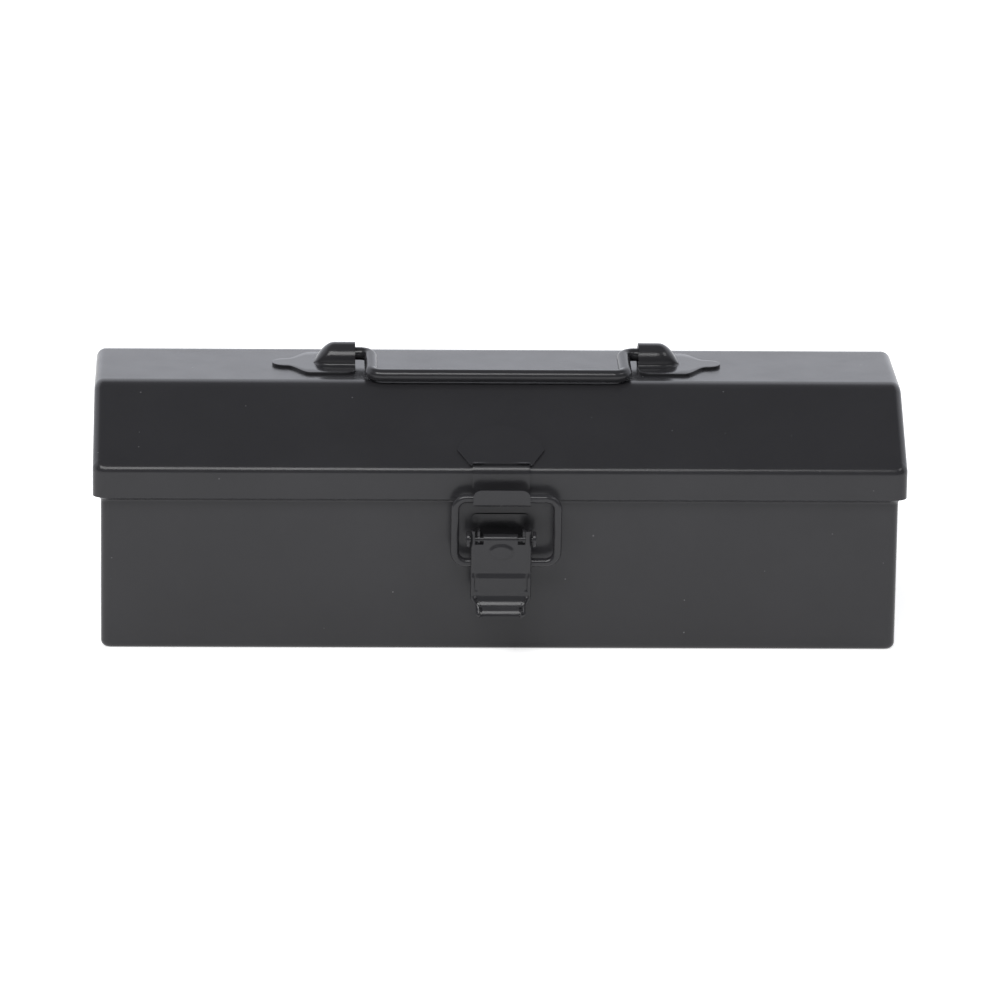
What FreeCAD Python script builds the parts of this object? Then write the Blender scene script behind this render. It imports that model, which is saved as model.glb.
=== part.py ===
import FreeCAD, Part
import math
import os
import Sketcher

# A pressed-steel toolbox with a hipped lid, a folding carrying handle, one
# draw latch and a lift-out tray. Millimetres: X along the box, Y towards the
# hinges, Z up, with the origin under the middle of the body's base.

DIMENSIONS = (
    # shells
    ("sheet", 0.8),
    ("body_width", 352.0),
    ("body_depth", 143.0),
    ("body_corner", 4.5),
    ("base_bend", 2.8),
    ("shoulder_level", 67.8),
    ("shoulder_rise", 2.2),
    ("shoulder_flare", 2.2),
    ("shoulder_bend", 2.0),
    ("body_height", 79.0),
    ("lid_width", 359.0),
    ("lid_depth", 150.0),
    ("lid_corner", 5.5),
    ("skirt_level", 70.0),
    ("rim_level", 83.6),
    ("top_level", 111.3),
    ("plate_depth", 58.9),
    ("plate_bend", 12.0),
    ("rim_bend", 4.3),
    # rear hinges
    ("hinge_offset", 110.0),
    ("hinge_width", 34.0),
    ("hinge_gauge", 1.0),
    ("hinge_axis_back", 77.5),
    ("hinge_pin_radius", 1.25),
    ("hinge_pin_length", 36.0),
    ("hinge_play", 0.06),
    ("knuckle_radius", 2.3),
    ("knuckle_half", 6.0),
    ("knuckle_gap", 0.35),
    ("lid_leaf_top", 82.0),
    ("body_leaf_foot", 46.0),
    ("body_leaf_bend", 61.0),
    ("leaf_corner", 3.0),
    ("leaf_tongue_drop", 4.0),
    ("leaf_wrap", 1.6),
    ("leaf_crank", 0.4),
    ("pin_edge", 0.3),
    # carrying handle and its two brackets
    ("rod_radius", 2.9),
    ("rod_edge", 0.5),
    ("handle_axis_rise", 5.2),
    ("handle_arm", 56.6),
    ("handle_stub_end", 73.5),
    ("handle_reach", 30.0),
    ("handle_droop", 4.2),
    ("handle_bend", 5.0),
    ("grip_bend", 5.0),
    ("bracket_gauge", 1.2),
    ("bracket_inner", 63.4),
    ("bracket_shoulder", 85.5),
    ("bracket_neck", 91.2),
    ("bracket_tip", 100.5),
    ("foot_half", 18.0),
    ("tab_half", 6.2),
    ("tab_round", 6.15),
    ("foot_corner", 5.0),
    ("foot_shoulder", 6.0),
    ("foot_neck", 5.0),
    ("tunnel_half", 7.2),
    ("tunnel_rise", 10.4),
    ("tunnel_end", 72.6),
    ("dome_length", 9.4),
    # keeper on the lid
    ("keeper_gauge", 1.1),
    ("neck_half", 12.6),
    ("lobe_half", 19.2),
    ("lobe_waist", 11.0),
    ("lobe_length", 25.8),
    ("hook_floor", 69.3),
    ("hook_front", 86.4),
    ("hook_lip", 77.1),
    ("hook_bend", 1.6),
    ("lip_corner", 3.5),
    ("lobe_tip", 1.2),
    ("tongue_root", 0.3),
    # loop, lever and base of the latch
    ("wire_radius", 1.9),
    ("loop_half", 22.6),
    ("loop_shift", 2.2),
    ("loop_bend", 5.2),
    ("loop_top_front", 82.8),
    ("loop_top_level", 72.6),
    ("loop_foot_front", 81.2),
    ("loop_foot_level", 43.0),
    ("lever_axis_front", 83.6),
    ("lever_axis_level", 54.2),
    ("latch_play", 0.1),
    ("lever_gauge", 1.0),
    ("lever_half", 13.4),
    ("lever_tip_half", 10.9),
    ("lever_front", 86.0),
    ("lever_step", 0.9),
    ("ledge_top", 38.6),
    ("ledge_foot", 37.6),
    ("flare_top", 29.8),
    ("flare_tip", 21.8),
    ("flare_reach", 5.4),
    ("flare_radius", 8.8),
    ("taper_top", 28.9),
    ("taper_foot", 19.4),
    ("flange_foot", 39.0),
    ("flange_top_rise", 4.2),
    ("flange_chamfer", 0.8),
    ("flange_top_depth", 3.4),
    ("flange_back", 3.7),
    ("flange_back_rise", 2.0),
    ("flange_back_drop", 2.6),
    ("foot_web", 2.8),
    ("foot_web_drop", 1.6),
    ("foot_web_inset", 1.2),
    ("foot_web_foot", 3.2),
    ("roll_radius", 2.4),
    ("roll_half", 7.8),
    ("notch_half", 11.9),
    ("notch_level", 52.4),
    ("boss_long", 6.0),
    ("boss_short", 3.4),
    ("boss_round", 3.3),
    ("boss_rise", 0.5),
    ("boss_level", 49.0),
    ("latch_pin_radius", 1.3),
    ("latch_pin_half", 15.4),
    ("latch_head_radius", 3.6),
    ("latch_head_gauge", 1.4),
    ("latch_head_edge", 0.5),
    ("base_gauge", 1.0),
    ("ear_inner", 9.4),
    ("ear_tip_rise", 4.2),
    ("ear_front", 1.3),
    ("ear_back", 1.6),
    ("ear_bevel", 0.6),
    ("ear_foot_rise", 2.5),
    ("ear_foot_drop", 2.4),
    ("ear_nose", 2.1),
    ("base_corner", 2.5),
    ("base_waist_run", 1.5),
    ("base_foot_half", 13.0),
    ("base_plate_foot", 46.5),
    ("base_plate_waist", 58.0),
    ("base_plate_top", 62.6),
    # tray and its corner rests
    ("tray_sheet", 0.7),
    ("tray_width", 347.0),
    ("tray_depth", 138.0),
    ("tray_corner", 6.0),
    ("tray_floor", 58.05),
    ("tray_top", 77.0),
    ("tray_bend", 2.5),
    ("hem_edge", 0.42),
    ("hem_drop", 3.5),
    ("rest_offset", 164.0),
    ("rest_width", 14.0),
    ("rest_level", 58.0),
    ("rest_drop", 9.0),
    ("rest_shelf", 7.0),
    ("rest_corner", 2.0),
    ("strap_half_length", 66.0),
    ("strap_foot", 17.0),
    ("strap_run_in", 12.0),
    ("strap_half_width", 8.0),
    ("strap_gauge", 1.2),
    ("strap_top", 99.5),
    ("strap_bend", 4.0),
    ("strap_end_corner", 4.0),
    ("rivet_radius", 1.6),
    ("rivet_head_radius", 3.1),
    ("rivet_crown_radius", 2.2),
    ("rivet_head_rise", 1.2),
    ("rivet_spacing", 9.0),
)

doc = FreeCAD.newDocument("Toolbox")
sheet = doc.addObject("Spreadsheet::Sheet", "Dimensions")
for row, (alias, value) in enumerate(DIMENSIONS, start=1):
    sheet.set(f"A{row}", alias)
    sheet.set(f"B{row}", str(value))
    sheet.setAlias(f"B{row}", alias)
doc.recompute()

ALIASES = {alias for alias, _ in DIMENSIONS}
SUB_PARTS = []


def sheet_formula(formula):
    """The formula with each alias written as the sheet's own cell."""
    words = []
    word = ""
    for character in formula + " ":
        if character.isalnum() or character == "_":
            word += character
            continue
        words.append("Dimensions." + word if word in ALIASES else word)
        words.append(character)
        word = ""
    return "".join(words).strip()


def value_of(formula):
    """The number that a formula of the sheet's aliases gives now."""
    return float(sheet.evalExpression(sheet_formula(formula)))


def bind(thing, prop, formula):
    """Tie a property to a formula of the driving dimensions."""
    thing.setExpression(prop, sheet_formula(formula))


# ---------------------------------------------------------------- sketches

def new_body(name):
    """An empty PartDesign body that becomes one sub-part."""
    body = doc.addObject("PartDesign::Body", name)
    body.Label = name
    SUB_PARTS.append(body)
    return body


def new_sketch(body, name, plane, offset="0"):
    """A sketch on one of the body's own origin planes, moved along its normal."""
    sketch = body.newObject("Sketcher::SketchObject", f"{body.Name}_{name}")
    support = [f for f in body.Origin.OriginFeatures if f.Role == plane][0]
    sketch.AttachmentSupport = [(support, "")]
    sketch.MapMode = "FlatFace"
    bind(sketch, "AttachmentOffset.Base.z", offset)
    return sketch


def name_and_bind(sketch, constraint, formula):
    """Add a dimension to the sketch and drive it from the sheet."""
    index = sketch.addConstraint(constraint)
    label = f"size_{index}"
    sketch.renameConstraint(index, label)
    bind(sketch, f"Constraints.{label}", formula)


def pin_point(sketch, geometry, end, across, along):
    """Hold one end of a piece of geometry at two formulas from the sketch's origin."""
    for kind, formula in (("DistanceX", across), ("DistanceY", along)):
        number = value_of(formula)
        constraint = Sketcher.Constraint(kind, -1, 1, geometry, end, number)
        name_and_bind(sketch, constraint, formula)


def outline(sketch, corners):
    """A closed outline between corners given as formulas.

    A corner with a third formula starts an arc of that radius, which turns
    left where its fourth value is 1 and right where it is -1."""
    points = [FreeCAD.Vector(value_of(corner[0]), value_of(corner[1]), 0) for corner in corners]
    count = len(points)
    ends = []
    for i, corner in enumerate(corners):
        start = points[i]
        end = points[(i + 1) % count]
        if len(corner) == 2:
            index = sketch.addGeometry(Part.LineSegment(start, end), False)
            ends.append((index, 1, 2))
            continue
        radius = value_of(corner[2])
        chord = end - start
        sag = radius - math.sqrt(radius ** 2 - (chord.Length / 2) ** 2)
        outward = FreeCAD.Vector(chord.y, -chord.x, 0).normalize() * sag * corner[3]
        index = sketch.addGeometry(Part.Arc(start, start + chord / 2 + outward, end), False)
        ends.append((index, 1, 2) if corner[3] > 0 else (index, 2, 1))
    for i, (index, _, end) in enumerate(ends):
        following, start, _ = ends[(i + 1) % count]
        sketch.addConstraint(Sketcher.Constraint("Coincident", index, end, following, start))
    for (index, start, _), corner in zip(ends, corners):
        pin_point(sketch, index, start, corner[0], corner[1])
        if len(corner) > 2:
            name_and_bind(sketch, Sketcher.Constraint("Radius", index, value_of(corner[2])), corner[2])


def circle(sketch, across, along, radius):
    """A circle whose centre and radius are formulas."""
    centre = FreeCAD.Vector(value_of(across), value_of(along), 0)
    normal = FreeCAD.Vector(0, 0, 1)
    index = sketch.addGeometry(Part.Circle(centre, normal, value_of(radius)), False)
    pin_point(sketch, index, 3, across, along)
    name_and_bind(sketch, Sketcher.Constraint("Radius", index, value_of(radius)), radius)


def rounded_path(sketch, corners, radii, closed):
    """Level and upright lines through the corners, with a tangent arc at each turn.

    An open path has no radius for its two ends."""
    points = [FreeCAD.Vector(value_of(x), value_of(y), 0) for x, y in corners]
    count = len(points)
    spans = count if closed else count - 1
    ways = [(points[(i + 1) % count] - points[i]).normalize() for i in range(spans)]
    bends = [value_of(r) for r in radii]
    lines = []
    for i in range(spans):
        start = points[i] + ways[i] * (bends[i] if closed or i > 0 else 0)
        after = (i + 1) % count
        end = points[after] - ways[i] * (bends[after] if closed or i < spans - 1 else 0)
        lines.append(sketch.addGeometry(Part.LineSegment(start, end), False))
        level = abs(ways[i].x) > abs(ways[i].y)
        sketch.addConstraint(Sketcher.Constraint("Horizontal" if level else "Vertical", lines[i]))
        kind, formula = ("DistanceY", corners[i][1]) if level else ("DistanceX", corners[i][0])
        constraint = Sketcher.Constraint(kind, -1, 1, lines[i], 1, value_of(formula))
        name_and_bind(sketch, constraint, formula)
    turns = range(count) if closed else range(1, count - 1)
    for i in turns:
        before = ways[i - 1]
        after = ways[i % spans]
        start = points[i] - before * bends[i]
        end = points[i] + after * bends[i]
        centre = start + after * bends[i]
        middle = centre + (points[i] - centre).normalize() * bends[i]
        arc = sketch.addGeometry(Part.Arc(start, middle, end), False)
        left_turn = before.cross(after).z > 0
        entry, leave = (1, 2) if left_turn else (2, 1)
        line_in = lines[(i - 1) % len(lines)]
        sketch.addConstraint(Sketcher.Constraint("Tangent", line_in, 2, arc, entry))
        sketch.addConstraint(Sketcher.Constraint("Tangent", arc, leave, lines[i % spans], 1))
        name_and_bind(sketch, Sketcher.Constraint("Radius", arc, bends[i]), radii[i])
    if not closed:
        for line, end, corner in ((lines[0], 1, corners[0]), (lines[-1], 2, corners[-1])):
            level = abs(ways[0 if end == 1 else -1].x) > 0.5
            kind, formula = ("DistanceX", corner[0]) if level else ("DistanceY", corner[1])
            constraint = Sketcher.Constraint(kind, -1, 1, line, end, value_of(formula))
            name_and_bind(sketch, constraint, formula)


def rounded_rectangle(sketch, half_width, half_depth, radius):
    """A rectangle about the sketch's origin with four equal round corners."""
    corners = (
        (f"-({half_width})", f"-({half_depth})"),
        (half_width, f"-({half_depth})"),
        (half_width, half_depth),
        (f"-({half_width})", half_depth),
    )
    rounded_path(sketch, corners, [radius] * 4, True)


# ---------------------------------------------------------------- features

def grow(body, name, kind, sketch, length, both=False, backwards=False, taper=None):
    """A Pad or Pocket of the sketch, checked to change the volume."""
    before = body.Shape.Volume if body.Tip else 0.0
    feature = body.newObject(f"PartDesign::{kind}", f"{body.Name}_{name}")
    feature.Profile = sketch
    bind(feature, "Length", length)
    if both:
        feature.SideType = "Symmetric"
    feature.Reversed = backwards
    if taper:
        bind(feature, "TaperAngle", taper)
    sketch.Visibility = False
    doc.recompute()
    change = feature.Shape.Volume - before
    if (kind == "Pad" and change <= 0) or (kind == "Pocket" and change >= 0):
        raise RuntimeError(f"{feature.Name} changes the volume by {change:.3f}")
    return feature


def edges_where(feature, test):
    """The names of the feature's edges whose middle and bounding box pass the test."""
    names = []
    for i, edge in enumerate(feature.Shape.Edges, start=1):
        if test(edge.BoundBox, edge):
            names.append(f"Edge{i}")
    return names


def rounding(body, name, feature, test, radius):
    """A Fillet on the edges of the body's last feature that pass the test."""
    names = edges_where(feature, test)
    fillet = body.newObject("PartDesign::Fillet", f"{body.Name}_{name}")
    fillet.Base = (feature, names)
    bind(fillet, "Radius", radius)
    doc.recompute()
    return fillet


def hollow(body, name, feature, test, gauge):
    """A shell of the given gauge, open at the face that passes the test."""
    faces = [f"Face{i}" for i, face in enumerate(feature.Shape.Faces, start=1) if test(face.BoundBox)]
    thickness = body.newObject("PartDesign::Thickness", f"{body.Name}_{name}")
    thickness.Base = (feature, faces)
    bind(thickness, "Value", gauge)
    thickness.Mode = "Skin"
    thickness.Join = "Arc"
    thickness.Reversed = True
    doc.recompute()
    return thickness


def is_flat_at(box, level):
    """Whether a bounding box lies in the level plane at that height."""
    return abs(box.ZMin - level) < 0.01 and abs(box.ZMax - level) < 0.01


def is_upright(box):
    """Whether a bounding box is a vertical line."""
    return box.XLength < 0.01 and box.YLength < 0.01


# ---------------------------------------------------------------- shells

def make_body_shell():
    """The open tub: round bottom bend, and a joggled rim that fits inside the lid's skirt."""
    body = new_body("body_shell")
    wall = new_sketch(body, "wall_plan", "XY_Plane")
    rounded_rectangle(wall, "body_width / 2", "body_depth / 2", "body_corner")
    grow(body, "wall", "Pad", wall, "shoulder_level")
    flare = new_sketch(body, "flare_plan", "XY_Plane", "shoulder_level")
    rounded_rectangle(flare, "body_width / 2", "body_depth / 2", "body_corner")
    grow(body, "flare", "Pad", flare, "shoulder_rise", taper="atan(shoulder_flare / shoulder_rise)")
    rim = new_sketch(body, "rim_plan", "XY_Plane", "shoulder_level + shoulder_rise")
    rounded_rectangle(
        rim,
        "body_width / 2 + shoulder_flare",
        "body_depth / 2 + shoulder_flare",
        "body_corner + shoulder_flare",
    )
    upper = grow(body, "rim", "Pad", rim, "body_height - shoulder_level - shoulder_rise")
    base = rounding(body, "base_bends", upper, lambda box, _: is_flat_at(box, 0), "base_bend")
    level = value_of("shoulder_level")
    bend = rounding(body, "shoulder_bends", base, lambda box, _: is_flat_at(box, level), "shoulder_bend")
    top = value_of("body_height")
    hollow(body, "inside", bend, lambda box: is_flat_at(box, top), "sheet")


def make_lid_shell():
    """The hipped lid: a flat plate, two slopes, upright ends and a skirt."""
    body = new_body("lid_shell")
    section = new_sketch(body, "section", "YZ_Plane")
    outline(section, (
        ("-lid_depth / 2", "skirt_level"),
        ("lid_depth / 2", "skirt_level"),
        ("lid_depth / 2", "rim_level"),
        ("plate_depth / 2", "top_level"),
        ("-plate_depth / 2", "top_level"),
        ("-lid_depth / 2", "rim_level"),
    ))
    block = grow(body, "block", "Pad", section, "lid_width", both=True)
    top = value_of("top_level")
    skirt = value_of("skirt_level")
    width = value_of("lid_width")
    plate = rounding(
        body, "plate_bends", block,
        lambda box, _: is_flat_at(box, top) and box.XLength > width - 1, "plate_bend",
    )
    corners = rounding(
        body, "corner_bends", plate,
        lambda box, _: is_upright(box) and box.ZMin < skirt + 0.01, "lid_corner",
    )
    rim = rounding(
        body, "rim_bends", corners,
        lambda box, edge: box.ZMin > skirt + 1 and is_sharp(corners, edge), "rim_bend",
    )
    hollow(body, "inside", rim, lambda box: is_flat_at(box, skirt), "sheet")


def is_sharp(feature, edge):
    """Whether the two faces that meet at the edge differ in direction at its middle."""
    middle = edge.valueAt((edge.FirstParameter + edge.LastParameter) / 2)
    normals = []
    for face in feature.Shape.ancestorsOfType(edge, Part.Face):
        u, v = face.Surface.parameter(middle)
        normals.append(face.normalAt(u, v))
    return len(normals) == 2 and normals[0].getAngle(normals[1]) > math.radians(5)


# ---------------------------------------------------------------- hinges

def bore_for_pin(body, radius):
    """The pin's hole through a hinge leaf."""
    hole = new_sketch(body, "bore_section", "YZ_Plane")
    circle(hole, "hinge_axis_back", "skirt_level", radius)
    grow(body, "bore", "Pocket", hole, "2 * hinge_width", both=True)


def round_leaf(body, plate, outer_level):
    """Round the two corners of a hinge leaf's plate that lie at its free edge."""
    def at_free_edge(box, _):
        return box.YLength > 0.5 and box.XLength < 0.01 and is_flat_at(box, outer_level)

    rounding(body, "plate_corners", plate, at_free_edge, "leaf_corner")


def make_lid_leaf(name, side):
    """The hinge leaf on the back of the lid's skirt, with the middle knuckle."""
    body = new_body(name)
    plate = new_sketch(body, "plate_section", "YZ_Plane")
    outline(plate, (
        ("lid_depth / 2", "skirt_level + knuckle_radius + knuckle_gap"),
        ("lid_depth / 2 + hinge_gauge", "skirt_level + knuckle_radius + knuckle_gap"),
        ("lid_depth / 2 + hinge_gauge", "lid_leaf_top"),
        ("lid_depth / 2", "lid_leaf_top"),
    ))
    leaf = grow(body, "plate", "Pad", plate, "hinge_width", both=True)
    round_leaf(body, leaf, value_of("lid_leaf_top"))
    tongue = new_sketch(body, "tongue_section", "YZ_Plane")
    outline(tongue, (
        ("lid_depth / 2", "skirt_level"),
        ("lid_depth / 2 + hinge_gauge", "skirt_level"),
        ("lid_depth / 2 + hinge_gauge", "lid_leaf_top - leaf_tongue_drop"),
        ("lid_depth / 2", "lid_leaf_top - leaf_tongue_drop"),
    ))
    grow(body, "tongue", "Pad", tongue, "2 * knuckle_half", both=True)
    knuckle = new_sketch(body, "knuckle_section", "YZ_Plane")
    circle(knuckle, "hinge_axis_back", "skirt_level", "knuckle_radius")
    grow(body, "knuckle", "Pad", knuckle, "2 * knuckle_half", both=True)
    bore_for_pin(body, "hinge_pin_radius + hinge_play")
    bind(body, "Placement.Base.x", f"{side} * hinge_offset")


def make_body_leaf(name, side):
    """The hinge leaf on the body's back wall, cranked out to the two outer knuckles."""
    body = new_body(name)
    plate = new_sketch(body, "plate_section", "YZ_Plane")
    outline(plate, (
        ("body_depth / 2", "body_leaf_foot"),
        ("body_depth / 2 + hinge_gauge", "body_leaf_foot"),
        ("body_depth / 2 + hinge_gauge", "body_leaf_bend"),
        ("hinge_axis_back + leaf_wrap", "skirt_level - leaf_wrap"),
        ("hinge_axis_back", "skirt_level"),
        ("hinge_axis_back - leaf_wrap", "skirt_level - leaf_wrap"),
        ("body_depth / 2", "body_leaf_bend + leaf_crank"),
    ))
    leaf = grow(body, "plate", "Pad", plate, "hinge_width", both=True)
    round_leaf(body, leaf, value_of("body_leaf_foot"))
    knuckle = new_sketch(body, "knuckle_section", "YZ_Plane")
    circle(knuckle, "hinge_axis_back", "skirt_level", "knuckle_radius")
    grow(body, "knuckle", "Pad", knuckle, "hinge_width", both=True)
    gap = new_sketch(body, "gap_section", "YZ_Plane")
    circle(gap, "hinge_axis_back", "skirt_level", "knuckle_radius + knuckle_gap")
    grow(body, "gap", "Pocket", gap, "2 * (knuckle_half + knuckle_gap)", both=True)
    bore_for_pin(body, "hinge_pin_radius")
    bind(body, "Placement.Base.x", f"{side} * hinge_offset")


def make_hinge_pin(name, side):
    """A plain hinge pin, pressed into the body leaf's knuckles."""
    body = new_body(name)
    section = new_sketch(body, "section", "YZ_Plane")
    circle(section, "hinge_axis_back", "skirt_level", "hinge_pin_radius")
    rod = grow(body, "rod", "Pad", section, "hinge_pin_length", both=True)
    rounding(body, "ends", rod, lambda box, _: box.XLength < 0.01, "pin_edge")
    bind(body, "Placement.Base.x", f"{side} * hinge_offset")


# ---------------------------------------------------------------- handle

def make_handle_bracket(name, side):
    """A spot-welded foot with a domed tunnel that holds one end of the handle."""
    body = new_body(name)
    foot = new_sketch(body, "foot_plan", "XY_Plane")
    outline(foot, (
        ("bracket_inner", "-foot_half"),
        ("bracket_shoulder", "-foot_half"),
        ("bracket_neck", "-tab_half"),
        ("bracket_tip", "-tab_half"),
        ("bracket_tip", "tab_half"),
        ("bracket_neck", "tab_half"),
        ("bracket_shoulder", "foot_half"),
        ("bracket_inner", "foot_half"),
    ))
    plate = grow(body, "foot", "Pad", foot, "bracket_gauge")
    inner = value_of("bracket_inner")
    tip = value_of("bracket_tip")
    shoulder = value_of("bracket_shoulder")
    neck = value_of("bracket_neck")

    def upright_at(across):
        return lambda box, _: is_upright(box) and abs(box.XMin - across) < 0.01

    plate = rounding(body, "foot_corners", plate, upright_at(inner), "foot_corner")
    plate = rounding(body, "tab_end", plate, upright_at(tip), "tab_round")
    plate = rounding(body, "foot_shoulders", plate, upright_at(shoulder), "foot_shoulder")
    rounding(body, "tab_shoulders", plate, upright_at(neck), "foot_neck")
    tunnel(body, "tunnel", "0", "bracket_inner")
    tunnel(body, "bore", "bracket_gauge", "bracket_inner - 1")
    bind(body, "Placement.Base.z", "top_level")
    if side < 0:
        body.Placement.Rotation = FreeCAD.Rotation(FreeCAD.Vector(0, 0, 1), 180)


def arch(sketch, half, rise):
    """A round arch on a straight sill: half its width and its height are formulas."""
    wide = value_of(half)
    left = FreeCAD.Vector(-wide, 0, 0)
    right = FreeCAD.Vector(wide, 0, 0)
    crown = FreeCAD.Vector(0, value_of(rise), 0)
    sill = sketch.addGeometry(Part.LineSegment(left, right), False)
    bow = sketch.addGeometry(Part.Arc(right, crown, left), False)
    sketch.addConstraint(Sketcher.Constraint("Coincident", sill, 2, bow, 1))
    sketch.addConstraint(Sketcher.Constraint("Coincident", bow, 2, sill, 1))
    pin_point(sketch, sill, 1, f"-({half})", "0")
    pin_point(sketch, sill, 2, half, "0")
    radius = f"(({half}) ^ 2 + ({rise}) ^ 2) / (2 * ({rise}))"
    name_and_bind(sketch, Sketcher.Constraint("Radius", bow, value_of(radius)), radius)


DOME_STATIONS = 7
DOME_TIP_RISE = 0.12
DOME_TIP_WIDTH = 0.35


def tunnel(body, name, inset, mouth_at):
    """An arched tunnel whose outer end closes in a dome; an inset above 0 cuts the inside."""
    solid = inset == "0"
    mouth = new_sketch(body, f"{name}_mouth", "YZ_Plane", mouth_at)
    arch(mouth, f"tunnel_half - {inset}", f"tunnel_rise - {inset}")
    kind = "Pad" if solid else "Pocket"
    grow(body, f"{name}_straight", kind, mouth, f"tunnel_end - ({mouth_at})", backwards=not solid)
    sections = []
    for station in range(DOME_STATIONS + 1):
        angle = math.pi / 2 * station / DOME_STATIONS
        fall = DOME_TIP_RISE + (1 - DOME_TIP_RISE) * math.cos(angle) ** 2
        narrowing = DOME_TIP_WIDTH + (1 - DOME_TIP_WIDTH) * math.cos(angle)
        reach = f"tunnel_end + (dome_length - {inset}) * {math.sin(angle):.4f}"
        section = new_sketch(body, f"{name}_dome_{station}", "YZ_Plane", reach)
        half = f"(tunnel_half - {inset}) * {narrowing:.4f}"
        arch(section, half, f"(tunnel_rise - {inset}) * {fall:.4f}")
        sections.append(section)
    kind = "Additive" if solid else "Subtractive"
    loft = body.newObject(f"PartDesign::{kind}Loft", f"{body.Name}_{name}_dome")
    loft.Profile = sections[0]
    loft.Sections = sections[1:]
    loft.Ruled = True
    doc.recompute()


def swept_rod(body, path, start):
    """A round rod along the path's sketch; its profile stands square to the path's first line."""
    pipe = body.newObject("PartDesign::AdditivePipe", f"{body.Name}_rod")
    pipe.Profile = start
    pipe.Spine = (path, [])
    pipe.Mode = "Standard"
    doc.recompute()
    return pipe


def turn_about_x(body, angle):
    """Turn a body about X by a formula in degrees."""
    body.Placement.Rotation = FreeCAD.Rotation(FreeCAD.Vector(1, 0, 0), value_of(angle))
    bind(body, "Placement.Rotation.Angle", angle)


def make_handle():
    """A bent steel rod: two stubs in the tunnels, two arms and the grip."""
    body = new_body("handle_bail")
    path = new_sketch(body, "path", "XY_Plane", "0")
    rounded_path(path, (
        ("-handle_stub_end", "0"),
        ("-handle_arm", "0"),
        ("-handle_arm", "-handle_reach"),
        ("handle_arm", "-handle_reach"),
        ("handle_arm", "0"),
        ("handle_stub_end", "0"),
    ), ("0", "handle_bend", "grip_bend", "grip_bend", "handle_bend", "0"), False)
    section = new_sketch(body, "section", "YZ_Plane", "-handle_stub_end")
    circle(section, "0", "0", "rod_radius")
    rod = swept_rod(body, path, section)
    rounding(body, "ends", rod, lambda box, _: box.XLength < 0.01, "rod_edge")
    bind(body, "Placement.Base.z", "top_level + handle_axis_rise")
    turn_about_x(body, "handle_droop")


# ---------------------------------------------------------------- latch

SLOPE = "atan((top_level - rim_level) / (lid_depth / 2 - plate_depth / 2))"


def make_keeper():
    """The lobed plate on the slope, bent over the rim and down into an upturned hook."""
    body = new_body("latch_keeper")
    lobe = new_sketch(body, "lobe_plan", "XY_Plane", "0")
    crown = "(lobe_length - lobe_waist)"
    outline(lobe, (
        ("-neck_half", "0"),
        ("neck_half", "0"),
        ("lobe_half", "lobe_waist", f"(lobe_half ^ 2 + {crown} ^ 2) / (2 * {crown})", 1),
        ("-lobe_half", "lobe_waist"),
    ))
    lobe.AttachmentOffset = FreeCAD.Placement(
        FreeCAD.Vector(0, -value_of("lid_depth") / 2, value_of("rim_level")),
        FreeCAD.Rotation(FreeCAD.Vector(1, 0, 0), value_of(SLOPE)),
    )
    bind(lobe, "AttachmentOffset.Base.y", "-lid_depth / 2")
    bind(lobe, "AttachmentOffset.Base.z", "rim_level")
    bind(lobe, "AttachmentOffset.Rotation.Angle", SLOPE)
    plate = grow(body, "lobe", "Pad", lobe, "keeper_gauge")
    rounding(body, "lobe_tips", plate, lambda box, _: is_lobe_tip(box), "lobe_tip")
    tongue = new_sketch(body, "tongue_section", "YZ_Plane")
    outline(tongue, (
        ("-lid_depth / 2", "rim_level"),
        ("-lid_depth / 2", "hook_floor + keeper_gauge"),
        ("-lid_depth / 2", "hook_floor"),
        ("-hook_front", "hook_floor"),
        ("-hook_front", "hook_lip"),
        ("-hook_front + keeper_gauge", "hook_lip"),
        ("-hook_front + keeper_gauge", "hook_floor + keeper_gauge"),
        ("-lid_depth / 2 - keeper_gauge", "hook_floor + keeper_gauge"),
        ("-lid_depth / 2 - keeper_gauge", "rim_level + keeper_gauge"),
        ("-lid_depth / 2 + 2 * keeper_gauge", "rim_level + 2 * keeper_gauge + tongue_root"),
        ("-lid_depth / 2 + 2 * keeper_gauge", "rim_level + 1.2 * keeper_gauge"),
    ))
    hook = grow(body, "tongue", "Pad", tongue, "2 * neck_half", both=True)
    floor = value_of("hook_floor")
    gauge = value_of("keeper_gauge")
    lip = value_of("hook_lip")

    def across_at(level):
        return lambda box, _: box.XLength > 20 and is_flat_at(box, level) and box.YMax < -70

    hook = rounding(body, "hook_outside", hook, across_at(floor), "hook_bend + keeper_gauge")
    hook = rounding(body, "hook_inside", hook, across_at(floor + gauge), "hook_bend")
    rounding(
        body, "lip_corners", hook,
        lambda box, _: box.YLength > 1 and box.XLength < 0.01 and is_flat_at(box, lip), "lip_corner",
    )


def is_lobe_tip(box):
    """Whether a bounding box is the short edge at one of the lobe's two widest corners."""
    return box.XLength < 0.01 and abs(abs(box.XMin) - value_of("lobe_half")) < 0.01 and box.YLength < 1.5


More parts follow.
